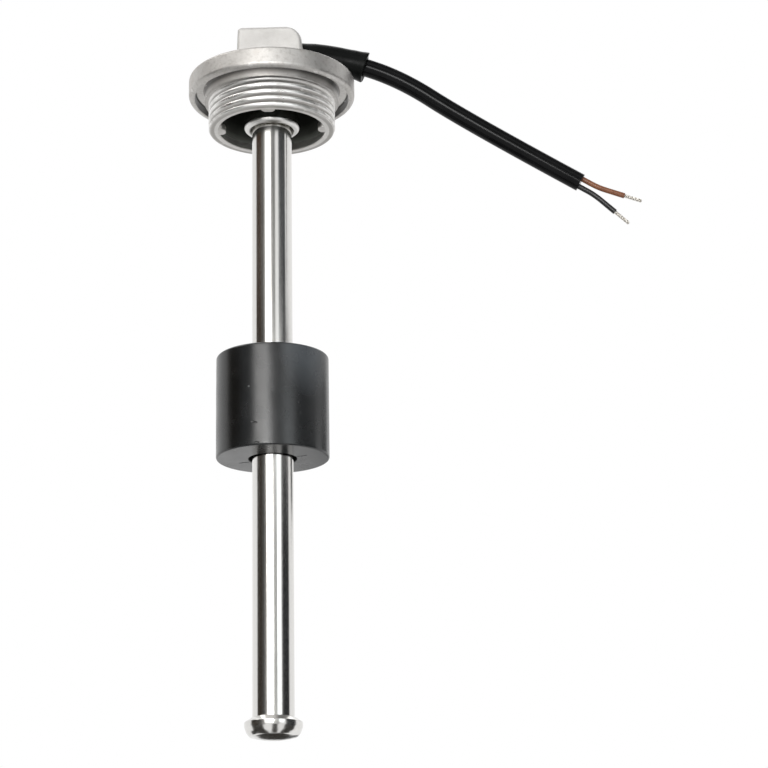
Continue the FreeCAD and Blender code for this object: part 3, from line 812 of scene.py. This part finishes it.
def float_rubber():
    """Moulded nitrile: satin black, with dust and a few nicks, painted light in a pale patch on the upper
    right, and painted shade in a dark patch on the left.
    """
    surface = Surface(
        "float_rubber_finish", (0.008, 0.009, 0.0095), (0.013, 0.014, 0.015), (0.21, 0.29),
        [(60, 0.05), (260, 0.006)], 90, rough_scale=160, IOR=1.56,
    )
    dust = surface.patches(420, 3, 0.66, 0.80)
    surface.add_tint((0.22, 0.23, 0.23), dust, 0.06)
    # Painted light: a pale bluish patch high on the front, to the right
    right_light_patch = surface.spot((11.0, -13.5, -88.0), (11.0, 10.0, 20.0))
    surface.add_tint((0.066, 0.073, 0.080), right_light_patch)
    # Painted shade: an almost black patch down the front, to the left
    left_shade_patch = surface.spot((-13.5, -12.0, -108.0), (6.0, 7.0, 32.0))
    surface.add_tint((0.0015, 0.0016, 0.0012), left_shade_patch)
    nick = surface.spot((-5.7, -17.1, -116.0), (1.1, 1.5, 0.35), (0, math.radians(14), 0))
    surface.add_tint((0.006, 0.006, 0.006), nick)
    chip = surface.spot((-5.0, -17.3, -122.6), (0.9, 1.5, 0.4))
    surface.add_tint((0.010, 0.010, 0.010), chip)
    speck = surface.spot((-7.4, -16.4, -104.2), (0.45, 1.5, 0.4))
    surface.add_tint((0.16, 0.17, 0.17), speck, 0.6)
    surface.add_bump(add_math(surface.tree, "ADD", nick, chip), -0.25)
    return surface.finish()


def raw_casting_and_shade():
    """The cast skin that no tool has touched: rough and a little green; its dark colour is partly painted
    shade, lighter near the mouth and darker away from it.
    """
    surface = Surface(
        "raw_casting_and_shade_finish", (0.056, 0.060, 0.052), (0.084, 0.090, 0.079), (0.60, 0.80),
        [(900, 0.03), (3000, 0.02)], 150, Specular_IOR_Level=0.15,
    )
    _, height = surface.round_stem()
    # Painted shade: lighter near the mouth, darker deeper in the cavity
    surface.add_tint((0.20, 0.207, 0.19), surface.past(height, -6.2, -9.2))
    surface.add_tint((0.015, 0.015, 0.013), surface.past(height, -7.0, -2.5))
    return surface.finish()


def bore_shade():
    """The float's bore: dull, and painted almost black with little reflection, as painted shade in the gap
    round the stem.
    """
    surface = Surface(
        "float_bore_shade_finish", (0.004, 0.004, 0.004), (0.008, 0.008, 0.008), (0.75, 0.90),
        [(900, 0.01)], 300, Specular_IOR_Level=0.05,
    )
    return surface.finish()


def plain_surfaces():
    """The other finishes, by the record's material slot."""
    black = ((0.003, 0.003, 0.0033), (0.006, 0.006, 0.0064))
    rows = (
        ("lead_jacket", *black, (0.17, 0.22), [(90, 0.02)], 200, {"Specular_IOR_Level": 0.10}),
        ("sleeve_polymer", (0.003, 0.0034, 0.0031), (0.005, 0.0056, 0.0053), (0.30, 0.42),
         [(200, 0.03)], 160, {"Specular_IOR_Level": 0.07}),
        ("ferrite", (0.07, 0.07, 0.08), (0.11, 0.11, 0.12), (0.55, 0.70), [(3000, 0.02)], 900, {}),
        ("board_laminate", (0.03, 0.16, 0.07), (0.06, 0.26, 0.12), (0.28, 0.40),
         [(1500, 0.01)], 500, {"tint_levels": (0.35, 0.65), "stretch": (1, 4, 0.4)}),
        ("liner_film", (0.72, 0.70, 0.64), (0.80, 0.79, 0.75), (0.40, 0.52), [(700, 0.01)], 160, {}),
        ("foot_rubber", (0.04, 0.04, 0.04), (0.06, 0.06, 0.06), (0.60, 0.75), [(1500, 0.02)], 300, {}),
        ("potting_resin", (0.02, 0.02, 0.025), (0.04, 0.04, 0.045), (0.10, 0.20), [(150, 0.05)], 250, {}),
        ("reed_glass", (0.70, 0.86, 0.77), (0.78, 0.90, 0.83), (0.04, 0.10),
         [(400, 0.004)], 300, {"Transmission_Weight": 0.7, "IOR": 1.5}),
        ("chip_body", (0.03, 0.03, 0.035), (0.05, 0.05, 0.055), (0.35, 0.50), [(2500, 0.01)], 700, {}),
        ("signal_insulation", (0.16, 0.055, 0.022), (0.23, 0.085, 0.035), (0.28, 0.40),
         [(600, 0.008)], 400, {}),
        ("ground_insulation", *black, (0.28, 0.40), [(600, 0.008)], 400, {}),
        ("tinned_copper", (0.66, 0.62, 0.56), (0.76, 0.74, 0.70), (0.22, 0.38),
         [(3000, 0.008)], 1500, {"Metallic": 1.0}),
    )
    return {slot: Surface(slot + "_finish", *looks, **more).finish() for slot, *looks, more in rows}


def paint_everything():
    finishes = plain_surfaces()
    finishes["cast_steel"] = cast_steel()
    finishes["polished_steel"] = polished_steel()
    finishes["float_rubber"] = float_rubber()
    slots = {part["node"]: part["material_slot"] for part in frame["record"]["subparts"]}
    for node, item in frame["nodes"].items():
        item.material_slots[0].material = finishes[slots[node]]
    own = {
        "collar_ring": collar_steel(),
        "stop_plug": turned_steel("stop_finish", (0.16, 0.22)).finish(),
        "cap_cavity_skin": raw_casting_and_shade(),
        "float_bore_skin": bore_shade(),
    }
    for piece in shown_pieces():
        if "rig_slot" in piece:
            piece.data.materials.clear()
            piece.data.materials.append(own.get(piece.name, finishes[piece["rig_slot"]]))


# Floor, cards, lamps and world

def around_stem(azimuth, distance):
    """A place round the stem; azimuth 0 is the camera's side, and it grows towards +X."""
    a = math.radians(azimuth)
    return distance * math.sin(a), -distance * math.cos(a)


def level_corners(x0, x1, y0, y1, z):
    """The corners of a level rectangle."""
    return [(x0, y0, z), (x1, y0, z), (x1, y1, z), (x0, y1, z)]


def upright_corners(first, second, bottom, top):
    """The corners of an upright rectangle, from one place to another."""
    return [(*first, bottom), (*second, bottom), (*second, top), (*first, top)]


def seen_directly(tree):
    """1 for what the camera sees, itself or in metal and glass; 0 for what only lights other things."""
    path = add_node(tree, "ShaderNodeLightPath").outputs
    shown = add_math(tree, "MAXIMUM", path["Is Camera Ray"], path["Is Glossy Ray"])
    return add_math(tree, "MAXIMUM", shown, path["Is Transmission Ray"])


def plain_material(name, colour):
    material = bpy.data.materials.new(name)
    material.use_nodes = True
    shader = material.node_tree.nodes["Principled BSDF"]
    shader.inputs["Base Color"].default_value = (*colour, 1)
    shader.inputs["Roughness"].default_value = 0.9
    shader.inputs["Specular IOR Level"].default_value = 0.0
    return material


def floor_paint():
    """Pale paint, lifted where it is seen, and more so far away, where it meets the background."""
    material = plain_material("floor_paint", (0.86, 0.86, 0.85))
    tree = material.node_tree
    shader = tree.nodes["Principled BSDF"]
    shader.inputs["Emission Color"].default_value = (1, 1, 1, 1)
    away = add_length(tree, add_node(tree, "ShaderNodeTexCoord").outputs["Object"])
    lift = add_range(tree, away, 1.0, 9.0, 0.2, 0.85)
    lift = add_math(tree, "MULTIPLY", seen_directly(tree), lift)
    tree.links.new(lift, shader.inputs["Emission Strength"])
    return material


def add_panel(name, corners, material):
    mesh = bpy.data.meshes.new(name)
    mesh.from_pydata(corners, [], [(0, 1, 2, 3)])
    mesh.materials.append(material)
    panel = bpy.data.objects.new(name, mesh)
    bpy.context.scene.collection.objects.link(panel)
    return panel


def add_floor():
    far = 40.0
    floor = add_panel("floor", level_corners(-far, far, -far, far, FLOOR_Z), floor_paint())
    floor.visible_glossy = False


def add_card(name, corners, colour):
    """A card that only reflections show."""
    card = add_panel(name, corners, plain_material(name + "_paint", colour))
    card.visible_camera = False
    card.visible_diffuse = False
    card.visible_shadow = False


def add_cards():
    """Grey cards round, over and under the sender, which give the shiny pieces their stripes."""
    low = (FLOOR_Z, 0.15)
    middle = (0.15, 0.235)
    high = (0.235, 0.55)
    cards = (
        ("left_low_card", -97, -62, low, (0.055, 0.046, 0.038)),
        ("left_low_grey_card", -62, -48, low, (0.08, 0.077, 0.073)),
        ("left_low_pale_card", -48, -34, low, (0.26, 0.25, 0.24)),
        ("left_middle_card", -104, -64, middle, (0.035, 0.030, 0.026)),
        ("left_middle_grey_card", -64, -44, middle, (0.06, 0.057, 0.052)),
        ("left_high_card", -104, -66, high, (0.076, 0.050, 0.034)),
        ("left_high_grey_card", -66, -52, high, (0.15, 0.14, 0.13)),
        ("left_high_pale_card", -52, -42, high, (0.42, 0.41, 0.39)),
        ("line_low_card", -2, 23, low, (0.56, 0.56, 0.55)),
        ("line_high_card", -8, 17, high, (0.29, 0.29, 0.28)),
        ("right_low_card", 49, 97, low, (0.035, 0.036, 0.038)),
        ("right_middle_card", 47, 118, (0.15, 0.195), (0.020, 0.021, 0.023)),
        ("right_middle_far_card", 118, 140, (0.10, 0.20), (0.02, 0.02, 0.02)),
        ("right_high_card", 37, 81, (0.225, 0.55), (0.080, 0.083, 0.087)),
    )
    for name, start, end, (bottom, top), colour in cards:
        first = around_stem(start, CARD_DISTANCE)
        second = around_stem(end, CARD_DISTANCE)
        add_card(name, upright_corners(first, second, bottom, top), colour)
    over = [(0.05, -0.75, 1.25), (1.15, -0.75, 0.65), (1.15, 0.55, 0.65), (0.05, 0.55, 1.25)]
    add_card("over_card", over, (0.30, 0.30, 0.30))
    shade = (0.05, 0.047, 0.043)
    under_cards = (
        ("left_under_card", (-97, 0.20), (-44, 0.20), (-26, 0.016), (-97, 0.016)),
        ("line_under_card", (-4, 0.20), (15, 0.20), (48, 0.016), (-24, 0.016)),
        ("right_under_card", (45, 0.20), (95, 0.20), (95, 0.016), (50, 0.016)),
        ("near_under_card", (-176, 0.30), (-100, 0.028), (100, 0.028), (176, 0.30)),
    )
    for name, *corners in under_cards:
        add_card(name, [(*around_stem(*corner), UNDER_Z) for corner in corners], shade)
    add_card("lead_under_card", level_corners(-0.44, -0.22, -0.25, 0.25, -0.45), shade)
    add_card("back_card", upright_corners((0.03, 1.2), (0.5, 1.2), -0.75, -0.4), (0.16, 0.165, 0.17))


def add_lamp(name, azimuth, distance, height, size, power, colour):
    """A soft box that faces the sender."""
    light = bpy.data.lights.new(name, "AREA")
    light.shape = "RECTANGLE"
    light.size, light.size_y = size
    light.energy = power
    light.color = colour
    lamp = bpy.data.objects.new(name, light)
    place = Vector((*around_stem(azimuth, distance), height))
    turn = (place - Vector((0, 0, SIGHT_Z))).to_track_quat("Z", "Y").to_matrix().to_4x4()
    lamp.matrix_world = Matrix.Translation(place) @ turn
    lamp.visible_camera = False
    bpy.context.scene.collection.objects.link(lamp)


def add_lamps():
    white = (1.0, 1.0, 1.0)
    warm = (1.0, 0.985, 0.96)
    cool = (0.95, 0.98, 1.0)
    blue = (0.87, 0.96, 1.0)
    add_lamp("left_box", -21, 1.15, 0.22, (0.76, 0.80), 2.5, warm)
    add_lamp("left_low_box", -22, 1.10, 0.16, (0.50, 0.20), 1.26, warm)
    add_lamp("right_box", 29, 1.15, 0.03, (0.54, 0.42), 0.95, blue)
    add_lamp("right_high_box", 65, 1.15, 0.90, (0.60, 0.45), 2.0, cool)
    add_lamp("lead_box", -8, 1.04, -0.03, (0.33, 0.22), 3.6, white)
    add_lamp("left_high_box", -80, 1.15, 1.0, (0.60, 0.45), 3.4, warm)
    add_lamp("top_box", 160, 1.0, 1.5, (1.6, 1.6), 8.0, white)


def add_world():
    """A white background, seen at full strength; as light on other things it has less than half."""
    world = bpy.data.worlds.new("studio")
    bpy.context.scene.world = world
    world.use_nodes = True
    tree = world.node_tree
    back = tree.nodes["Background"]
    back.inputs["Color"].default_value = (1, 1, 1, 1)
    strength = add_range(tree, seen_directly(tree), 0.0, 1.0, 0.42, 1.0)
    tree.links.new(strength, back.inputs["Strength"])


add_camera()
lead = add_lead()
sleeve = add_sleeve(spline_points(lead))
signal_strands = add_strands("signal_strands", "signal_tip", 1)
ground_strands = add_strands("ground_strands", "ground_tip", -1)
add_cap()
add_cavity_skin()
add_collar()
add_end_stop()
add_float()
add_bore_skin()
paint_everything()
add_floor()
add_cards()
add_lamps()
add_world()
bpy.context.scene.view_settings.view_transform = "Standard"
bpy.context.view_layer.update()
